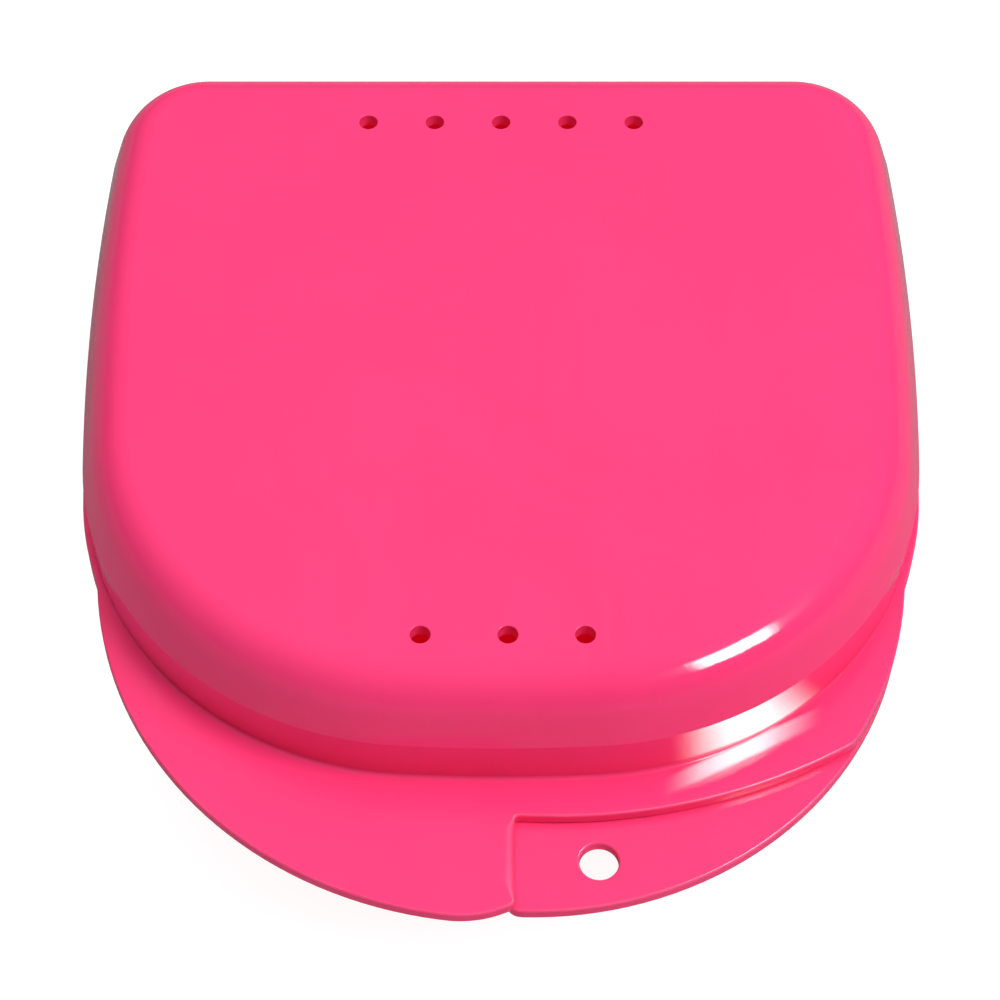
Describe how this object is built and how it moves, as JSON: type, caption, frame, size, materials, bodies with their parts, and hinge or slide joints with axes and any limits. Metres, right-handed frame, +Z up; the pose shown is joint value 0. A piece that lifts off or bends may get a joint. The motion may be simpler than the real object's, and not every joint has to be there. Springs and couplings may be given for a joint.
{
  "type": "denture case",
  "caption": "Hinged denture case: a low domed, vented lid on a shallow base, with two thumb tabs side by side in front, one with a lanyard hole.",
  "frame": {"origin": "middle of the whole part's length and width, at the plane of the base's flat bottom, on which the closed case stands", "axes": "+Z up, from the base to the lid; +Y to the rear, where the hinge is; +X to the right as seen from the front, where the thumb tabs are"},
  "size_m": [0.0812, 0.0964, 0.0288],
  "materials": {
    "lid_plastic": "smooth glossy moulded polypropylene, coral pink",
    "base_plastic": "smooth glossy moulded polypropylene, coral pink"
  },
  "bodies": {
    "base": {"base": "base_plastic", "base_tab": "base_plastic"},
    "lid": {"lid": "lid_plastic"}
  },
  "joints": [
    {"name": "lid_hinge", "type": "hinge", "parent": "base", "child": "lid", "pos_m": [0, 0.0459, 0.01525], "axis": [-1, 0, 0], "range_deg": [0, 180]}
  ]
}
